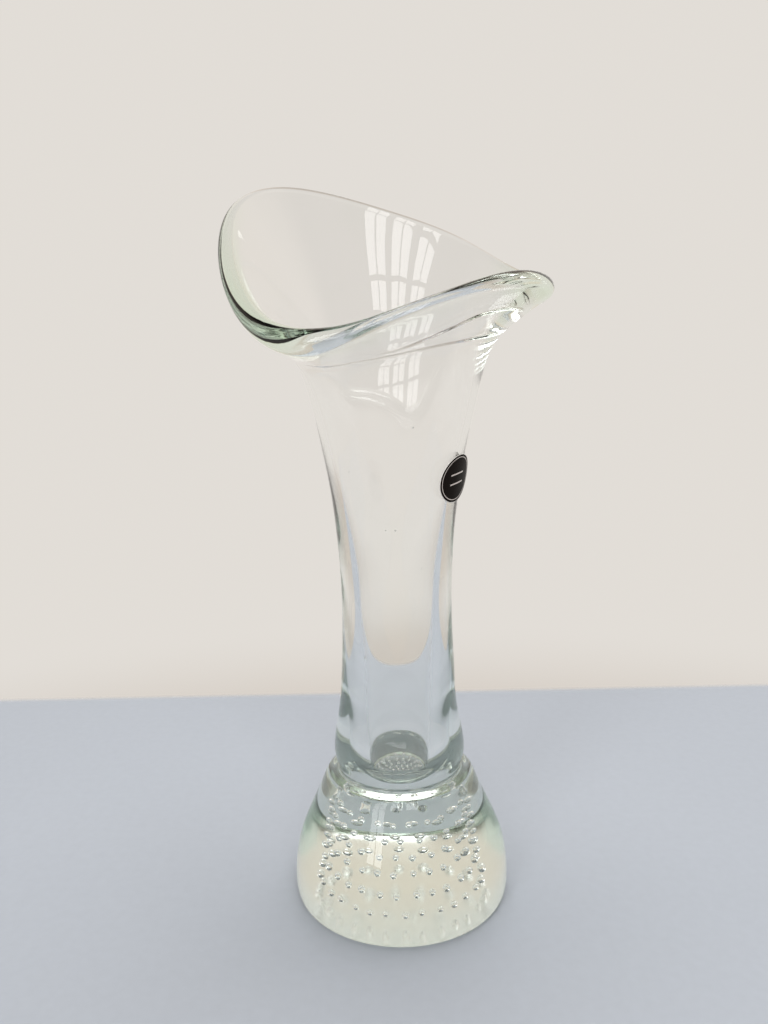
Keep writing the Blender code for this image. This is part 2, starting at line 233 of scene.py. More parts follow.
rim_check = round_the_rim(np.array((0.0, 0.25, 0.5, 0.75)))
rim_heights = 1000 * (NECK_HEIGHT + LIP_RISE * rim_check[1])
print("rim height in mm at right, back, left and front:", rim_heights.round(1))

# %% [markdown]
# ## The outline below the lip
# The outline is a list of (radius, height) points in one walk: from the middle of the ground base
# out to the heel, up the shoulder to the crease, and over hip and waist to the neck. The cavity
# is a second walk down the inside. Both are turned about the axis, so one column serves all round.

# %% Outline and cavity
FOOT_STEPS = 48
BOWL_STEPS = 60
CAVITY_STEPS = 52
WELL_STEPS = 14
BASE_REACH_SHARES = (0.02, 0.30, 0.60, 0.85, 0.96, 0.995)
HEEL_ANGLES = np.radians((90.0, 80.0, 60.0, 38.0, 18.0))


def foot_line():
    """Out over the flat base, round the heel, a quarter of an ellipse, and up the shoulder."""
    flat_radius = FOOT_RADIUS - HEEL_INSET
    flat = [(flat_radius * share, 0.0) for share in BASE_REACH_SHARES]
    heel = [
        (FOOT_RADIUS - HEEL_INSET * (1 - math.cos(angle)), BELLY_HEIGHT * (1 - math.sin(angle)))
        for angle in HEEL_ANGLES
    ]
    shoulder = [
        (between(CREASE_RADIUS, FOOT_RADIUS, width), between(CREASE_HEIGHT, BELLY_HEIGHT, fall))
        for width, fall in SHOULDER_SHARES[::-1]
    ]
    return np.concatenate((flat, smooth_line(heel + shoulder, FOOT_STEPS)))


def bowl_line():
    """From the crease over the hip and the waist to the neck."""
    stations = [(CREASE_RADIUS, CREASE_HEIGHT)]
    for climb, wide in HIP_TO_WAIST_SHARES:
        radius = between(WAIST_RADIUS, HIP_RADIUS, wide)
        stations.append((radius, between(HIP_HEIGHT, WAIST_HEIGHT, climb)))
    for climb, wide in WAIST_TO_NECK_SHARES:
        radius = between(WAIST_RADIUS, NECK_RADIUS, wide)
        stations.append((radius, between(WAIST_HEIGHT, NECK_HEIGHT, climb)))
    return smooth_line(stations, BOWL_STEPS)


def cavity_line():
    """From the neck down the inside of the wall, then a quarter of an ellipse round the well."""
    well_radius = HIP_RADIUS - HIP_WALL
    well_top = FLOOR_HEIGHT + WELL_DEPTH
    stations = []
    for (climb, wide), (_, thick) in zip(WAIST_TO_NECK_SHARES[::-1], WALL_SHARES[::-1]):
        radius = between(WAIST_RADIUS, NECK_RADIUS, wide) - between(NECK_WALL, WAIST_WALL, thick)
        stations.append((radius, between(WAIST_HEIGHT, NECK_HEIGHT, climb)))
    stations.append((WAIST_RADIUS - WAIST_WALL, WAIST_HEIGHT))
    stations.append((well_radius, well_top))
    quarter = np.linspace(0.0, math.pi / 2, WELL_STEPS)[1:-1]
    well = (well_radius * np.cos(quarter), well_top - WELL_DEPTH * np.sin(quarter))
    return np.concatenate((smooth_line(stations, CAVITY_STEPS), np.stack(well, axis=1)))


foot = foot_line()
bowl = bowl_line()
cavity = cavity_line()
print("points down the outline:", len(foot) + len(bowl), "and down the cavity:", len(cavity))

# %% [markdown]
# ## The lip as a surface of two parameters
# One parameter is the turn round the vase, the other the place across the lip: up its outside,
# round the bead, down its inside. At each turn the middle of the glass runs on along the wall to
# the fold, turns over it, and runs straight to the rim. Half the thickness is laid off on both
# sides. A sculpted mesh could do this too, but a formula stays smooth and can be tuned.

# %% Walks across the lip
AROUND = 256
# Steps in each span between the marks of a walk
LIP_SPANS = (12, 16, 10, 6, 10, 14)
FOLD_REACH = 3.0 * MM
BEAD_STEPS = 16


def soft_ramp(walk, width):
    """Nothing before the fold, the walk beyond it, with a soft bend of a width between them.

    The ramp is the width times the logarithm of (1 plus e to the power of walk over width).
    """
    return width * np.logaddexp(0.0, walk / width)


def crease_places(turns):
    """Walks past the fold and depths of both creases at any turns, joined up round the vase."""
    table = np.array(CREASES).T
    columns = [np.interp(turns, table[0], column, period=1.0) for column in table[1:]]
    lower, lower_share, upper, upper_share = columns
    return (lower, CREASE_DEPTH * lower_share), (upper, CREASE_DEPTH * upper_share)


def walk_rows(start, end, creases):
    """Walks by turns: even steps in each span, the spans close about the fold and the creases."""
    marks = [start, np.full_like(start, -FOLD_REACH)]
    for place, _ in creases:
        marks += [place - CREASE_MARGIN, place + CREASE_MARGIN]
    marks.append(end)
    spans = [
        between(low, high, np.arange(count)[:, None] / count)
        for low, high, count in zip(marks[:-1], marks[1:], LIP_SPANS)
    ]
    return np.concatenate((*spans, end[None]))


def rim_greens(turns, walk):
    """The turn's share of green, times a bell curve of the way from each walk to the rim."""
    share = np.interp(turns, *np.array(RIM_GREENS).T, period=1.0)
    return share * np.exp(-(((walk[-1] - walk) / RIM_GREEN_REACH) ** 2))


print("rows on each side of the lip:", sum(LIP_SPANS) + 1)

# %% Lip rows


def lip_rows(turns):
    """Radii and heights, rows by turns: wall, fold and flap, offset by half the glass's thickness.

    The walk is counted from the fold, less than nothing on the wall and more on the flap. The
    middle of the glass is the fold's place, less the wall's way times the ramp of the walk turned
    round, plus the flap's way times the ramp of the walk. The thickness grows from the wall's to
    the bead's with the share of the walk to the power of three halves. Each crease is a bell curve
    of the walk, taken off the outside. Also gives two marks by rows, both from 0 to 1: how deep a
    crease is there, and how green the rim looks.
    """
    reach_share, rise_share, bead_share, climb_share, soft_share = round_the_rim(turns)
    last_step = (bowl[-1] - bowl[-2])[:, None]
    wall_way = last_step / np.hypot(*last_step)
    neck = ((bowl[-1] + cavity[0]) / 2)[:, None]
    tip = np.stack((LIP_REACH * reach_share, NECK_HEIGHT + LIP_RISE * rise_share))
    bead = LIP_BEAD * bead_share
    climb = FOLD_RISE * climb_share
    width = FOLD_SOFTNESS * soft_share
    fold = neck + wall_way * climb
    flap_length = np.hypot(*(tip - fold))
    flap_way = (tip - fold) / flap_length
    rim = tip - flap_way * bead / 2

    creases = crease_places(turns)
    walk = walk_rows(-climb, flap_length - bead / 2, creases)
    share = ((walk - walk[0]) / (walk[-1] - walk[0]))[:, None]
    before = soft_ramp(-walk, width)[:, None]
    beyond = soft_ramp(walk, width)[:, None]
    middle = fold - wall_way * before + flap_way * beyond
    middle = middle + between(neck - middle[0], rim - middle[-1], share)
    turned_over = (1 / (1 + np.exp(-walk / width)))[:, None]
    way = between(wall_way, flap_way, turned_over)
    way /= np.hypot(way[:, 0], way[:, 1])[:, None]
    side = np.stack((way[:, 1], -way[:, 0]), axis=1)
    half = between(NECK_WALL, bead, share * np.sqrt(share)) / 2
    cut = np.zeros_like(walk)
    for place, depth in creases:
        cut += depth * np.exp(-(((walk - place) / CREASE_WIDTH) ** 2) / 2)
    outer = middle + side * (half - cut[:, None])
    inner = middle - side * half
    angle = np.linspace(0.0, math.pi, BEAD_STEPS + 2)[1:-1, None, None]
    round_end = rim + (side[-1] * np.cos(angle) + way[-1] * np.sin(angle)) * bead / 2
    green = rim_greens(turns, walk)
    green = np.concatenate((green, np.repeat(green[-1:], BEAD_STEPS, axis=0), green[::-1]))
    deep = np.zeros_like(green)
    deep[: len(cut)] = cut / CREASE_DEPTH
    return np.concatenate((outer, round_end, inner[::-1])), deep, green


turns = np.arange(AROUND) / AROUND
lip, lip_deep, lip_green = lip_rows(turns)
print("lip rows:", len(lip), "highest point in mm:", round(1000 * lip[:, 1].max(), 1))

# %% [markdown]
# ## One skin of glass
# Blown glass has no seams: the foot, the bowl and the lip melted into one body. The rows of all
# the walks are stacked into one grid, from the middle of the base, up, over the bead, and down
# to the middle of the cavity's floor. A few rounds of averaging soften the crease and the places
# where two walks meet, and a slow ripple, a tenth of a millimetre deep, makes the wall look blown.

# %% The skin's grid
# Rows that the averaging reaches to each side, and its rounds
CREASE_SOFTENING = (4, 3)
NECK_SOFTENING = (10, 60)
RIPPLE_DEPTH = 0.10 * MM
# Waves round the vase, waves per metre of height, where it starts as a share of a wave, depth share
RIPPLE_SHARES = (
    (2, 9.0, 0.10, 1.00),
    (3, -14.0, 0.45, 0.70),
    (5, 23.0, 0.80, 0.40),
    (1, 31.0, 0.25, 0.45),
)


def soften(rows, centre, reach, rounds):
    """Average each row with its neighbours, most at the centre row and none past the reach."""
    place = np.arange(len(rows))
    weight = np.clip(1 - np.abs(place - centre) / reach, 0.0, 1.0)[1:-1, None, None]
    for _ in range(rounds):
        middle = (rows[:-2] + rows[2:]) / 2
        rows[1:-1] += weight * (middle - rows[1:-1]) / 2
    return rows


def ripple(angle, height):
    """A sum of four slow waves that turn round the vase as they climb, gone at the ground base."""
    total = sum(
        deep * np.cos(waves * angle + 2 * math.pi * (climb * height + start))
        for waves, climb, start, deep in RIPPLE_SHARES
    )
    fade = np.clip(height / BELLY_HEIGHT - 1, 0.0, 1.0)
    return RIPPLE_DEPTH * total * fade


def skin_rows():
    """The whole section at every turn, as rows of (radius, height)."""
    level = np.ones(AROUND)
    lower = np.concatenate((foot, bowl[1:-1]))[:, :, None] * level
    upper = cavity[1:, :, None] * level
    rows = np.concatenate((lower, lip, upper))
    crease = len(foot) - 1
    neck_out = len(lower)
    neck_in = len(lower) + len(lip) - 1
    rows = soften(rows, crease, *CREASE_SOFTENING)
    rows = soften(rows, neck_out, *NECK_SOFTENING)
    return soften(rows, neck_in, *NECK_SOFTENING)


def skin_points():
    """The rows turned to their places round the axis, with the ripple added to the radius."""
    rows = skin_rows()
    angle = 2 * math.pi * turns
    radius = rows[:, 0] + ripple(angle, rows[:, 1]) * np.clip(rows[:, 0] / CREASE_RADIUS, 0.0, 1.0)
    return np.stack((radius * np.cos(angle), radius * np.sin(angle), rows[:, 1]), axis=-1)


skin = skin_points()
print("skin grid:", skin.shape[0], "rows by", skin.shape[1], "columns")

# %% [markdown]
# ## Air in the glass
# The core of the foot was pricked with a ring of spikes, row above row, and dipped again: each
# prick closed over a small round bubble. A few stray seeds hang in the wall of the bowl. To the
# renderer a bubble is a hole, so its faces look into the air inside it, away from the glass.

# %% Bubbles and seeds
CORE_RADIUS = 20.0 * MM
CORE_TOP_RADIUS = 17.0 * MM
CORE_HEIGHT = 41.5 * MM
CORE_DOME_START = 30.1 * MM
BUBBLE_RADIUS = 1.1 * MM
# Height share of each row, and where its first bubble stands as a share of a step
BUBBLE_ROW_SHARES = (
    (0.080, 0.10),
    (0.222, 0.93),
    (0.374, 0.05),
    (0.511, 0.40),
    (0.651, 0.70),
    (0.795, 0.50),
    (0.916, 0.20),
)
BUBBLES_IN_ROW = 24
# For a bubble's way aside, way up and size: seed per row, first seed, share of its radius
BUBBLE_SCATTER = {"aside": (3, 1, 0.50), "up": (5, 2, 0.35), "size": (7, 3, 0.10)}
GOLDEN_STEP = (math.sqrt(5) - 1) / 2
BUBBLE_SIDES = 10
BUBBLE_RINGS = 7
# Seeds: turn from +X, height, how far from the inner wall to the outer, radius
SEEDS = (
    (-0.278, 143 * MM, 0.45, 0.22 * MM),
    (-0.252, 143 * MM, 0.55, 0.30 * MM),
    (-0.214, 178 * MM, 0.50, 0.25 * MM),
    (0.120, 121 * MM, 0.40, 0.25 * MM),
    (0.410, 158 * MM, 0.50, 0.22 * MM),
    (0.640, 96 * MM, 0.60, 0.30 * MM),
)


def core_radius_at(height):
    """The radius of the pricked core: a tapered post under a quarter of an ellipse."""
    post = between(CORE_RADIUS, CORE_TOP_RADIUS, height / CORE_DOME_START)
    climb = np.clip((height - CORE_DOME_START) / (CORE_HEIGHT - CORE_DOME_START), 0.0, 1.0)
    return np.where(climb > 0, CORE_TOP_RADIUS * np.sqrt(1 - climb**2), post)


def scatter(count, row, what):
    """How far each bubble of a row departs, in metres, without a random source.

    The number of the bubble plus the seed, times the golden ratio, leaves a remainder below 1,
    which is stretched to run from -1 to 1.
    """
    per_row, first, share = BUBBLE_SCATTER[what]
    steps = np.arange(count) + per_row * row + first
    return BUBBLE_RADIUS * share * (2 * (steps * GOLDEN_STEP % 1) - 1)


def bubble_places():
    """Centres and radii of all bubbles, row by row up the core, each a little off its place."""
    centres, radii = [], []
    for row, (share, start) in enumerate(BUBBLE_ROW_SHARES):
        height = share * CORE_HEIGHT
        radius = float(core_radius_at(height))
        count = round(BUBBLES_IN_ROW * radius / CORE_RADIUS)
        turned = (np.arange(count) + start) / count
        angle = 2 * math.pi * turned + scatter(count, row, "aside") / radius
        up = height + scatter(count, row, "up")
        centres.append(np.stack((radius * np.cos(angle), radius * np.sin(angle), up), axis=1))
        radii.append(BUBBLE_RADIUS + scatter(count, row, "size"))
    return np.concatenate(centres), np.concatenate(radii)


def seed_places():
    """Centres and radii of the seeds, between the inner and the outer wall."""
    turn, height, depth, radius = np.array(SEEDS).T
    outside = np.interp(height, bowl[:, 1], bowl[:, 0])
    inside = np.interp(height, cavity[::-1, 1], cavity[::-1, 0])
    place = between(inside, outside, depth)
    angle = 2 * math.pi * turn
    return np.stack((place * np.cos(angle), place * np.sin(angle), height), axis=1), radius


def ball_grid():
    """A unit ball as rings by sides, with a small ring near each pole that a fan closes.

    A point is (sine of tilt times cosine of side, sine of tilt times sine of side, cosine of
    tilt). The rings run downwards, which turns the ball's faces inwards, to the air.
    """
    tilt = np.linspace(0.0, math.pi, BUBBLE_RINGS + 2)[1:-1, None]
    side = 2 * math.pi * np.arange(BUBBLE_SIDES) / BUBBLE_SIDES
    up = np.cos(tilt) * np.ones(BUBBLE_SIDES)
    return np.stack((np.sin(tilt) * np.cos(side), np.sin(tilt) * np.sin(side), up), axis=-1)


bubble_centres, bubble_radii = bubble_places()
seed_centres, seed_radii = seed_places()
print("bubbles:", len(bubble_radii), "seeds:", len(seed_radii))

# %% [markdown]
# ## From grids to a mesh
# A grid that wraps round needs no list of faces by hand: face number (row, column) joins four
# neighbours, and one array expression gives them all. Each end is closed with a fan round a
# middle point, so no pole is left open.

# %% Mesh helpers


def tube_faces(rows, columns, first):
    """Quads of a wrapped grid and triangles of its two end fans, as arrays of corner numbers.

    The grid's points start at the number first, and its two pole points follow them. The faces
    look outwards where the rows run up the outside.
    """
    ring = first + np.arange(rows - 1)[:, None] * columns
    here = np.arange(columns)
    after = (here + 1) % columns
    above = ring + columns
    quads = np.stack((ring + here, ring + after, above + after, above + here), axis=-1)
    start_pole = first + rows * columns
    last = start_pole - columns
    start_fan = np.stack((np.full(columns, start_pole), first + after, first + here), axis=-1)
    end_fan = np.stack((np.full(columns, start_pole + 1), last + here, last + after), axis=-1)
    return quads.reshape(-1, 4), np.concatenate((start_fan, end_fan))


def make_mesh(name, points, quads, triangles):
    """Put whole arrays of points and faces into a new mesh, smooth shaded."""
    mesh = bpy.data.meshes.new(name)
    corners = np.concatenate((quads.ravel(), triangles.ravel())).astype(np.int32)
    quad_starts = 4 * np.arange(len(quads))
    starts = np.concatenate((quad_starts, 4 * len(quads) + 3 * np.arange(len(triangles))))
    mesh.vertices.add(len(points))
    mesh.vertices.foreach_set("co", points.astype(np.float32).ravel())
    mesh.loops.add(len(corners))
    mesh.loops.foreach_set("vertex_index", corners)
    mesh.polygons.add(len(starts))
    mesh.polygons.foreach_set("loop_start", starts.astype(np.int32))
    mesh.update(calc_edges=True)
    mesh.validate()
    mesh.shade_smooth()
    return mesh


print("faces of a tube of 3 rows by 8:", sum(len(part) for part in tube_faces(3, 8, 0)))

# %% [markdown]
# ## The vase as one closed mesh
# Bubbles could be cut out with a Boolean, which is slow and leaves ragged faces. They are shells
# of their own in the same mesh instead, which a renderer reads as the same hole. The mesh also
# keeps two numbers at each point of the lip: one for the painted shade that darkens the creases,
# one for the green of the rim.

# %% The vase


def make_piece(name, mesh, nodes):
    """Show a mesh as a piece of the vase that stands for CAD nodes."""
    piece = bpy.data.objects.new(name, mesh)
    bpy.context.scene.collection.objects.link(piece)
    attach(piece, "root")
    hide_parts(*nodes)
    print(name, "faces:", len(mesh.polygons), "stands for", nodes)
    return piece


def over_skin(lip_mark):
    """A mark on the lip's rows, laid over the whole skin: nothing below the lip."""
    mark = np.zeros(skin.shape[:2])
    first = len(foot) + len(bowl) - 2
    mark[first:first + len(lip_mark)] = lip_mark
    return mark.ravel()


def vase_mesh():
    """The skin first, then every bubble and seed as a closed shell that faces its own air."""
    poles = np.array(((0.0, 0.0, 0.0), (0.0, 0.0, FLOOR_HEIGHT)))
    points = [skin.reshape(-1, 3), poles]
    quads, fans = tube_faces(skin.shape[0], AROUND, 0)
    all_quads, all_fans = [quads], [fans]
    filled = skin.shape[0] * AROUND + 2
    ball = ball_grid()
    ball_poles = np.array(((0.0, 0.0, 1.0), (0.0, 0.0, -1.0)))
    unit = np.concatenate((ball.reshape(-1, 3), ball_poles))
    centres = np.concatenate((bubble_centres, seed_centres))
    radii = np.concatenate((bubble_radii, seed_radii))
    for centre, radius in zip(centres, radii):
        points.append(centre + radius * unit)
        quads, fans = tube_faces(BUBBLE_RINGS, BUBBLE_SIDES, filled)
        all_quads.append(quads)
        all_fans.append(fans)
        filled += len(unit)
    stacked = [np.concatenate(part) for part in (points, all_quads, all_fans)]
    mesh = make_mesh("vase_glass", *stacked)
    # One mark carries the painted shade of the creases, the other the green of the rim
    for name, lip_mark in (("crease_painted_shade", lip_deep), ("rim_green", lip_green)):
        mark = np.zeros(len(mesh.vertices), dtype=np.float32)
        mark[: skin.shape[0] * AROUND] = over_skin(lip_mark)
        mesh.attributes.new(name, "FLOAT", "POINT").data.foreach_set("value", mark)
    return mesh


vase = make_piece("vase_glass", vase_mesh(), ["bowl", "foot_casing", "foot_core"])

# %% [markdown]
# ## The label
# The label is a wide oval of lacquered foil on paper, printed dark, stuck on the right of the neck.
# It is stiffer than the curve that it is stuck to, so it follows the wall up and down but stands
# off at its two ends. It is a thin closed shell: back, edge and face, all rings of one oval.

# %% Label shell
LABEL_WIDTH = 22.8 * MM
LABEL_TALL = 16.7 * MM
LABEL_THICKNESS = 0.3 * MM
LABEL_GAP = 0.3 * MM
LABEL_MIDDLE = 159.1 * MM
LABEL_FLATTER_BY = 27.0 * MM
LABEL_TURN = math.radians(-28.4)
LABEL_LEAN = math.radians(-3.3)
LABEL_SIDES = 96
# Rings from the middle of the back, out round the edge, to the middle of the face: share of the
# oval's reach, share of the thickness
LABEL_RING_SHARES = (
    (0.10, 0.00),
    (0.40, 0.00),
    (0.70, 0.00),
    (0.90, 0.00),
    (0.97, 0.00),
    (0.992, 0.15),
    (1.000, 0.50),
    (0.992, 0.85),
    (0.97, 1.00),
    (0.90, 1.00),
    (0.70, 1.00),
    (0.40, 1.00),
    (0.10, 1.00),
)


def label_points(share, lift, side):
    """Points of the oval at a share of its reach, lifted off the glass by a share of its thickness.

    The oval is turned by its lean in its own plane, and its plan is an arc that is flatter than
    the neck. Out from the axis it stands at the wall's radius at that height plus the gap, less
    the arc's radius times (1 minus the cosine of the bend).
    """
    across = LABEL_WIDTH / 2 * share * np.cos(side)
    along = LABEL_TALL / 2 * share * np.sin(side)
    sideways = across * math.cos(LABEL_LEAN) + along * math.sin(LABEL_LEAN)
    height = LABEL_MIDDLE + along * math.cos(LABEL_LEAN) - across * math.sin(LABEL_LEAN)
    bend_radius = np.interp(LABEL_MIDDLE, bowl[:, 1], bowl[:, 0]) + LABEL_FLATTER_BY
    bend = sideways / bend_radius
    wall = np.interp(height, bowl[:, 1], bowl[:, 0]) + LABEL_GAP + LABEL_THICKNESS * lift
    out = wall + bend_radius * (np.cos(bend) - 1)
    along_wall = (bend_radius + LABEL_THICKNESS * lift) * np.sin(bend)
    x = out * math.cos(LABEL_TURN) - along_wall * math.sin(LABEL_TURN)
    y = out * math.sin(LABEL_TURN) + along_wall * math.cos(LABEL_TURN)
    return np.stack((x, y, height), axis=-1)


def label_mesh():
    """The shell, with a UV map of (across, along) from -1 to 1, its back and edge marked paper."""
    share, lift = np.array(LABEL_RING_SHARES).T[:, :, None]
    side = 2 * math.pi * np.arange(LABEL_SIDES) / LABEL_SIDES
    grid = label_points(share, lift, side)
    nothing = np.zeros(2)
    poles = label_points(nothing, np.array((0.0, 1.0)), nothing)
    quads, fans = tube_faces(len(share), LABEL_SIDES, 0)
    mesh = make_mesh("oval_label", np.concatenate((grid.reshape(-1, 3), poles)), quads, fans)
    print_place = np.stack((share * np.cos(side), share * np.sin(side)), axis=-1).reshape(-1, 2)
    print_place = np.concatenate((print_place, np.zeros((2, 2))))
    corners = np.zeros(len(mesh.loops), dtype=np.int32)
    mesh.loops.foreach_get("vertex_index", corners)
    layer = mesh.uv_layers.new(name="print_place")
    layer.data.foreach_set("uv", print_place[corners].astype(np.float32).ravel())
    paper = np.concatenate((np.repeat(lift[:, 0] < 1, LABEL_SIDES), (True, False)))
    mark = mesh.attributes.new("paper", "FLOAT", "POINT")
    mark.data.foreach_set("value", paper.astype(np.float32))
    return mesh


label = make_piece("oval_label", label_mesh(), ["label"])

# %% [markdown]
# ## Shader sums written as Python
# A shader is a graph of small nodes. Wrapping a socket in a class whose plus and times add Math
# nodes keeps the recipe readable: the expression says what is mixed, and the nodes follow.

# %% Values


class Value:
    """A number that comes out of a node. Arithmetic on it adds Math nodes to the same graph."""

    def __init__(self, graph, socket):
        self.graph = graph
        self.socket = socket

    def __add__(self, other):
        return self.graph.math("ADD", self, other)

    def __sub__(self, other):
        return self.graph.math("SUBTRACT", self, other)

    def __rsub__(self, other):
        return self.graph.math("SUBTRACT", other, self)

    def __mul__(self, other):
        return self.graph.math("MULTIPLY", self, other)

    def __truediv__(self, other):
        return self.graph.math("DIVIDE", self, other)

    def __rtruediv__(self, other):
        return self.graph.math("DIVIDE", other, self)

    def __pow__(self, other):
        return self.graph.math("POWER", self, other)

    def __rpow__(self, other):
        return self.graph.math("POWER", other, self)

    def __gt__(self, other):
        return self.graph.math("GREATER_THAN", self, other)

    def __lt__(self, other):
        return self.graph.math("LESS_THAN", self, other)

    __radd__ = __add__
    __rmul__ = __mul__


print("operators that add Math nodes: + - * / ** > <")

# %% Graphs


class Graph:
    """The nodes of one material or world."""

    def __init__(self, owner):
        owner.use_nodes = True
        self.tree = owner.node_tree

    def node(self, kind, settings=(), values=()):
        """Add a node of a type, set it up, and give its sockets values or links."""
        made = self.tree.nodes.new(kind)
        for name, setting in dict(settings).items():
            setattr(made, name, setting)
        for name, value in dict(values).items():
            self.put(made.inputs[name], value)
        return made

    def put(self, socket, value):
        """Link a value or a socket, or set a constant."""
        if isinstance(value, Value):
            value = value.socket
        if isinstance(value, bpy.types.NodeSocket):
            self.tree.links.new(value, socket)
        else:
            socket.default_value = value

    def math(self, operation, *values):
        """One Math node."""
        made = self.node("ShaderNodeMath", {"operation": operation}, dict(enumerate(values)))
        return Value(self, made.outputs[0])

    def steps(self, value, low, high):
        """A smooth step from 0 at low to 1 at high."""
        values = {0: value, 1: low, 2: high}
        made = self.node("ShaderNodeMapRange", {"interpolation_type": "SMOOTHSTEP"}, values)
        return Value(self, made.outputs[0])

    def mix(self, factor, first, second):
        """A colour between two colours. A Mix node keeps sockets 6, 7 and output 2 for colours."""
        made = self.node("ShaderNodeMix", {"data_type": "RGBA"}, {0: factor, 6: first, 7: second})
        return made.outputs[2]

    def noise(self, place, scale, detail):
        """Cloudy noise from 0 to 1, with a number of clouds per metre and of finer layers."""
        values = {"Vector": place, "Scale": scale, "Detail": detail}
        return Value(self, self.node("ShaderNodeTexNoise", {}, values).outputs["Fac"])

    def mark(self, name):
        """A number that the mesh keeps at each point."""
        made = self.node("ShaderNodeAttribute", {"attribute_name": name})
        return Value(self, made.outputs["Fac"])


def new_material(name):
    """A material with its graph and its main shader."""
    material = bpy.data.materials.new(name)
    graph = Graph(material)
    return material, graph, graph.tree.nodes["Principled BSDF"]


print("a graph's helpers:", [name for name in vars(Graph) if not name.startswith("__")])

# %% [markdown]
# ## Clear glass with a breath of green
# Soda glass is tinted by a trace of iron, and the tint shows only where light goes a long way
# through it: in the bead of the lip and in the foot. So the tint is in the volume and not on
# the surface. The surface has what hands and tools leave: faint waves from shaping, a little
# dullness from wiping and a fine ground band where the base was cut flat. The creases get
# painted shade, a dark colour that grows with how deep each crease is cut. Its only green is the
# trace that was marked at the bends of the rim.

# %% Glass
GLASS_INDEX = 1.52
TINT_COLOUR = (0.74, 0.90, 0.78, 1.0)
TINT_DENSITY = 6.5
CLEAN_COLOUR = (1.0, 1.0, 1.0, 1.0)
RIM_COLOUR = (0.84, 0.96, 0.80, 1.0)
WIPED_COLOUR = (0.985, 0.99, 0.985, 1.0)
# Painted shade: the colour that darkens the creases, and its share where a crease is cut deepest
CREASE_SHADE_COLOUR = (0.30, 0.26, 0.22, 1.0)
CREASE_SHADE_SHARE = 0.85
WIPE_ROUGHNESS = 0.012
# Clouds per metre, and finer layers
SMEARS = (45.0, 3.0)
WAVES = (55.0, 1.0)
SMEAR_LIMITS = (0.52, 0.74)
GROUND_ROUGHNESS = 0.16
GROUND_LIMITS = (0.2 * MM, 0.5 * MM)
WAVE_DEPTH = 0.02 * MM


def glass_material():
    """Principled glass, its tint in the volume, painted shade in the creases, wear in colour,
    roughness and bump.
    """
    material, graph, shader = new_material("tinted_clear_glass")
    place = graph.node("ShaderNodeTexCoord").outputs["Object"]
    height = Value(graph, graph.node("ShaderNodeSeparateXYZ", {}, {"Vector": place}).outputs["Z"])
    smears = graph.steps(graph.noise(place, *SMEARS), *SMEAR_LIMITS)
    ground = 1 - graph.steps(height, *GROUND_LIMITS)
    wiped = graph.mix(smears, CLEAN_COLOUR, WIPED_COLOUR)
    green = graph.mix(graph.mark("rim_green"), wiped, RIM_COLOUR)
    # Painted shade: the creases are darkened in step with how deep they are cut
    crease_shade = graph.mark("crease_painted_shade") * CREASE_SHADE_SHARE
    graph.put(shader.inputs["Base Color"], graph.mix(crease_shade, green, CREASE_SHADE_COLOUR))
    graph.put(shader.inputs["Roughness"], smears * WIPE_ROUGHNESS + ground * GROUND_ROUGHNESS)
    shader.inputs["IOR"].default_value = GLASS_INDEX
    shader.inputs["Transmission Weight"].default_value = 1.0
    waves = graph.noise(place, *WAVES)
    values = {"Height": waves, "Distance": WAVE_DEPTH, "Strength": 1.0}
    graph.put(shader.inputs["Normal"], graph.node("ShaderNodeBump", {}, values).outputs["Normal"])
    tint = {"Color": TINT_COLOUR, "Density": TINT_DENSITY}
    volume = graph.node("ShaderNodeVolumeAbsorption", {}, tint)
    graph.put(graph.tree.nodes["Material Output"].inputs["Volume"], volume.outputs["Volume"])
    return material


vase.data.materials.append(glass_material())
print("glass tint:", TINT_COLOUR[:3], "over", round(1 / TINT_DENSITY, 3), "m")

# %% [markdown]
# ## Dark foil
# The face is black lacquer over foil, glossy, with a thin silver line round its edge and two
# short silver rules, a plain design with nothing to read. The back and the cut edge are paper.
# The pattern follows the oval's own UV map, so it bends with the label. Its shine is held low:
# black lacquer seen at a slant would mirror the pale room and turn grey.

# %% Foil
LACQUER_COLOUR = (0.008, 0.006, 0.005, 1.0)
SILVER_COLOUR = (0.62, 0.58, 0.57, 1.0)
PAPER_COLOUR = (0.80, 0.79, 0.77, 1.0)
LINE_SHARES = (0.865, 0.895)
RULE_HALF_LENGTH = 0.42
RULE_HALF_WIDTH = 0.030
RULE_PLACES = (0.20, -0.20)
SILVER_METALLIC = 0.9
# Clouds per metre, and finer layers
SCUFFS = (900.0, 4.0)
FOIL_ROUGHNESS = 0.16
SCUFF_ROUGHNESS = 0.16
PAPER_ROUGHNESS = 0.4
LACQUER_SHINE = 0.01
PAPER_STARTS = 0.5


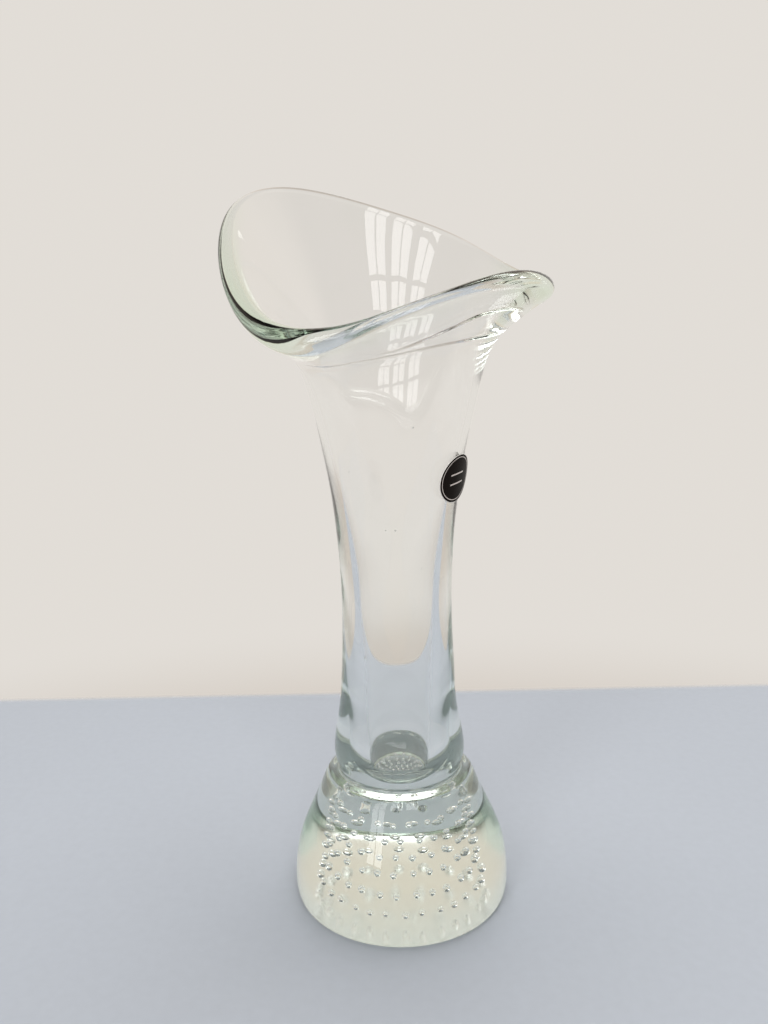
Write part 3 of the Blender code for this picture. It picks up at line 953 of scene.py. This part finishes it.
def foil_material():
    """Black lacquer with a printed oval line and two rules, and paper where it is marked so."""
    material, graph, shader = new_material("lacquered_foil")
    place = graph.node("ShaderNodeUVMap", {"uv_map": "print_place"}).outputs["UV"]
    axes = graph.node("ShaderNodeSeparateXYZ", {}, {"Vector": place})
    across = Value(graph, axes.outputs["X"])
    along = Value(graph, axes.outputs["Y"])
    out = graph.math("SQRT", across * across + along * along)
    printed = (out > LINE_SHARES[0]) * (out < LINE_SHARES[1])
    beside = graph.math("ABSOLUTE", across) < RULE_HALF_LENGTH
    for middle in RULE_PLACES:
        printed = printed + (graph.math("ABSOLUTE", along - middle) < RULE_HALF_WIDTH) * beside
    paper = graph.mark("paper") > PAPER_STARTS
    scuffs = graph.noise(graph.node("ShaderNodeTexCoord").outputs["Object"], *SCUFFS)
    face = graph.mix(printed, LACQUER_COLOUR, SILVER_COLOUR)
    graph.put(shader.inputs["Base Color"], graph.mix(paper, face, PAPER_COLOUR))
    graph.put(shader.inputs["Metallic"], printed * (1 - paper) * SILVER_METALLIC)
    rough = scuffs * SCUFF_ROUGHNESS + FOIL_ROUGHNESS + paper * PAPER_ROUGHNESS
    graph.put(shader.inputs["Roughness"], rough)
    shader.inputs["Specular IOR Level"].default_value = LACQUER_SHINE
    return material


label.data.materials.append(foil_material())
print("materials so far:", [piece.active_material.name for piece in (vase, label)])

# %% [markdown]
# ## The board
# The vase stands on a pale matt board. Glass shows what is round it, so the surroundings matter
# as much as the glass. The board could be endless, but its far edge belongs to the look: it cuts
# the glass in two tones.

# %% Board
AIR_GAP = 0.3 * MM
BOARD_WIDE = 400 * MM
BOARD_DEEP = 195 * MM
BOARD_SOFT_SHARE = 0.04
BOARD_POWER = 12
BOARD_COLOUR = (0.50, 0.545, 0.61, 1.0)
BOARD_DARKER_COLOUR = (0.465, 0.507, 0.567, 1.0)
# Clouds per metre, and finer layers
BOARD_MOTTLE = (260.0, 5.0)
BOARD_ROUGHNESS = 0.9
BOARD_SHINE = 0.1
BOARD_SIDES = 192


def board_material():
    """Matt board, softly mottled, whose edge fades into the room.

    How far out a point is: the twelfth root of (x share to the twelfth plus y share to the
    twelfth), which is 1 all along an oblong with round corners.
    """
    material, graph, shader = new_material("pale_board")
    place = graph.node("ShaderNodeTexCoord").outputs["Object"]
    axes = graph.node("ShaderNodeSeparateXYZ", {}, {"Vector": place})
    x = graph.math("ABSOLUTE", Value(graph, axes.outputs["X"]) / BOARD_WIDE)
    y = graph.math("ABSOLUTE", Value(graph, axes.outputs["Y"]) / BOARD_DEEP)
    out = (x**BOARD_POWER + y**BOARD_POWER) ** (1 / BOARD_POWER)
    mottle = graph.noise(place, *BOARD_MOTTLE)
    graph.put(shader.inputs["Base Color"], graph.mix(mottle, BOARD_DARKER_COLOUR, BOARD_COLOUR))
    shader.inputs["Roughness"].default_value = BOARD_ROUGHNESS
    shader.inputs["Specular IOR Level"].default_value = BOARD_SHINE
    graph.put(shader.inputs["Alpha"], 1 - graph.steps(out, 1 - BOARD_SOFT_SHARE, 1.0))
    return material


def make_board():
    """A flat oblong with round corners, a hair below the base, which keeps its film of air.

    A circle is stretched by the twelfth root of (x to the twelfth plus y to the twelfth).
    """
    side = 2 * math.pi * np.arange(BOARD_SIDES) / BOARD_SIDES
    ring = np.stack((np.cos(side), np.sin(side)), axis=1)
    reach = (ring**BOARD_POWER).sum(axis=1) ** (1 / BOARD_POWER)
    ring = ring / reach[:, None] * (BOARD_WIDE, BOARD_DEEP)
    points = np.concatenate((ring, ((0.0, 0.0),)))
    points = np.concatenate((points, np.full((len(points), 1), -AIR_GAP)), axis=1)
    here = np.arange(BOARD_SIDES)
    fan = np.stack((np.full(BOARD_SIDES, BOARD_SIDES), here, (here + 1) % BOARD_SIDES), axis=1)
    mesh = make_mesh("board", points, np.zeros((0, 4), dtype=int), fan)
    board = bpy.data.objects.new("board", mesh)
    bpy.context.scene.collection.objects.link(board)
    mesh.materials.append(board_material())


make_board()
print("board in mm:", round(2000 * BOARD_WIDE), "by", round(2000 * BOARD_DEEP))

# %% [markdown]
# ## The room
# The walls are pale and a little warmer low down and high up, and the room is dim overhead and
# high in front, which draws the dark lines along the lip and the foot. Walls could be built, but
# a world that mixes a few colours by direction does the same and has no corners to be mirrored.

# %% Room
LOW_COLOUR = (0.62, 0.555, 0.49, 1.0)
ROOM_COLOUR = (0.76, 0.725, 0.68, 1.0)
UPPER_COLOUR = (0.78, 0.68, 0.59, 1.0)
CEILING_COLOUR = (0.14, 0.125, 0.115, 1.0)
FRONT_COLOUR = (0.16, 0.13, 0.11, 1.0)
# Where each tone starts and is full, as the sine of the height above the horizon
LOW_LIMITS = (-0.44, -0.30)
UPPER_LIMITS = (0.36, 0.56)
FRONT_LIMITS = (0.36, 0.44)
CEILING_LIMITS = (0.76, 0.90)
# How far back a direction points where the dim front ends
FRONT_DEPTH_LIMITS = (-0.25, 0.10)


def make_room():
    """The world: pale walls, warmer low down and high up, dim overhead and high in front."""
    world = bpy.data.worlds.new("room")
    bpy.context.scene.world = world
    graph = Graph(world)
    place = graph.node("ShaderNodeTexCoord").outputs["Generated"]
    axes = graph.node("ShaderNodeSeparateXYZ", {}, {"Vector": place})
    up = Value(graph, axes.outputs["Z"])
    back = Value(graph, axes.outputs["Y"])
    walls = graph.mix(graph.steps(up, *LOW_LIMITS), LOW_COLOUR, ROOM_COLOUR)
    walls = graph.mix(graph.steps(up, *UPPER_LIMITS), walls, UPPER_COLOUR)
    front = (1 - graph.steps(back, *FRONT_DEPTH_LIMITS)) * graph.steps(up, *FRONT_LIMITS)
    walls = graph.mix(front, walls, FRONT_COLOUR)
    overhead = graph.steps(up, *CEILING_LIMITS)
    shade = graph.tree.nodes["Background"]
    graph.put(shade.inputs["Color"], graph.mix(overhead, walls, CEILING_COLOUR))


make_room()
print("world:", bpy.context.scene.world.name)

# %% [markdown]
# ## Windows and a lamp
# Three tall windows of small panes stand in front. Each pane is an area lamp, so the windows both
# light the vase and are mirrored in its curved walls, panes and bars and all. They are hidden from
# rays that pass through the glass, which would gather them into white blots in the thick foot. A
# large soft lamp hangs overhead: it is not mirrored, but it sparkles through the tip of the lip and
# the bubbles.

# %% Lamps
PANE_WIDTH = 0.24
PANE_HEIGHT = 0.30
PANE_STEP_ACROSS = 0.28
PANE_STEP_UP = 0.35
PANE_COLUMNS = 2
PANE_POWER = 0.9
WINDOW_AWAY = 1.75
WINDOW_HEAD = 2.275
# Azimuth in degrees from the front, less than nothing to the left, and rows of panes
WINDOWS = ((16.0, 5), (-7.0, 5), (-31.0, 6))
TOP_PLACE = (0.15, 0.35, 1.6)
TOP_TARGET = (0.0, 0.0, 0.1)
TOP_SIZE = 1.2
TOP_POWER = 15.0


def make_lamp(name, place, target, width, height, power):
    """A rectangular area lamp. Its -Z runs from its place to the target, and its Y points up."""
    light = bpy.data.lights.new(name, "AREA")
    light.shape = "RECTANGLE"
    light.size = width
    light.size_y = height
    light.energy = power
    lamp = bpy.data.objects.new(name, light)
    bpy.context.scene.collection.objects.link(lamp)
    turned = (Vector(target) - Vector(place)).to_track_quat("-Z", "Y")
    lamp.matrix_world = Matrix.Translation(place) @ turned.to_matrix().to_4x4()
    return lamp


def make_window(name, azimuth, rows):
    """A tall window of panes at an azimuth.

    A pane's place: the distance out along the azimuth, plus its column's steps aside, at the
    window's head less its row's steps.
    """
    out = np.array((math.sin(azimuth), -math.cos(azimuth), 0.0))
    across = np.array((math.cos(azimuth), math.sin(azimuth), 0.0))
    for column in range(PANE_COLUMNS):
        for row in range(rows):
            aside = PANE_STEP_ACROSS * (column - (PANE_COLUMNS - 1) / 2)
            height = WINDOW_HEAD - PANE_STEP_UP * row
            place = out * WINDOW_AWAY + across * aside + (0.0, 0.0, height)
            size = (PANE_WIDTH, PANE_HEIGHT)
            pane = make_lamp(f"{name}_{column}_{row}", place, place - out, *size, PANE_POWER)
            pane.visible_transmission = False


for number, (azimuth, rows) in enumerate(WINDOWS):
    make_window(f"window_{number}", math.radians(azimuth), rows)
top = make_lamp("top", TOP_PLACE, TOP_TARGET, TOP_SIZE, TOP_SIZE, TOP_POWER)
top.visible_glossy = False

# %% [markdown]
# ## The camera
# The photograph was taken from close by, a little above the middle of the vase, with the camera
# tipped down ten degrees and turned by one. The focal length is in pixels of the picture's
# height, so that any render size gives the same frame.

# %% Camera
PICTURE_HEIGHT = 1024
FOCAL_PIXELS = 850.0
CAMERA_PLACE = (-0.0040, -0.302, 0.199)
CAMERA_TIP = math.radians(10.0)
CAMERA_ROLL = math.radians(-1.155)
NEAREST_SEEN = 10 * MM

camera_data = bpy.data.cameras.new("camera")
camera_data.sensor_fit = "AUTO"
camera_data.lens = camera_data.sensor_width * FOCAL_PIXELS / PICTURE_HEIGHT
camera_data.clip_start = NEAREST_SEEN
camera = bpy.data.objects.new("camera", camera_data)
bpy.context.scene.collection.objects.link(camera)
level = Matrix.Rotation(math.pi / 2 - CAMERA_TIP, 4, "X")
rolled = Matrix.Rotation(CAMERA_ROLL, 4, "Z")
camera.matrix_world = Matrix.Translation(CAMERA_PLACE) @ level @ rolled
scene = bpy.context.scene
scene.camera = camera
scene.view_settings.view_transform = "Standard"
print("lens in mm:", round(camera_data.lens, 2))

# %% [markdown]
# ## Light paths
# A ray that enters the foot crosses the skin, several bubbles and the cavity, and is reflected
# inside more than once. With too few bounces those paths end early and the glass turns black.

# %% Bounces
GLASS_BOUNCES = 28
MIRROR_BOUNCES = 16
scene.cycles.max_bounces = GLASS_BOUNCES
scene.cycles.transmission_bounces = GLASS_BOUNCES
scene.cycles.glossy_bounces = MIRROR_BOUNCES
print("bounces through glass:", GLASS_BOUNCES, "and between mirrors:", MIRROR_BOUNCES)
